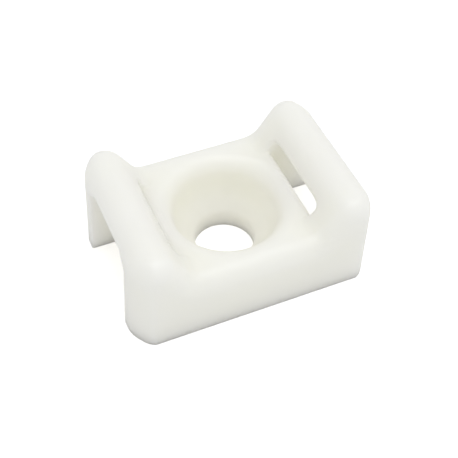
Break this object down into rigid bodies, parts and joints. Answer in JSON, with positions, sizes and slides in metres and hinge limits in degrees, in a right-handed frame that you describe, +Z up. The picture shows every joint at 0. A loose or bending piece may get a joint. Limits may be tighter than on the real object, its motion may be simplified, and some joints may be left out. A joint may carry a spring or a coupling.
{
  "type": "cable tie mount",
  "caption": "Saddle cable tie mount for one screw: a flat base with a countersunk hole and a tie slot under the band of each raised lug.",
  "frame": {"origin": "centre of the screw hole on the flat base", "axes": "+X along the tie, from lug to lug; +Y along the cable bundle; +Z up out of the base, the way the screw leaves"},
  "size_m": [0.015, 0.0104, 0.0063],
  "materials": {
    "nylon": "natural milky nylon, satin as moulded"
  },
  "bodies": {
    "root": {"tie_mount": "nylon"}
  },
  "joints": []
}
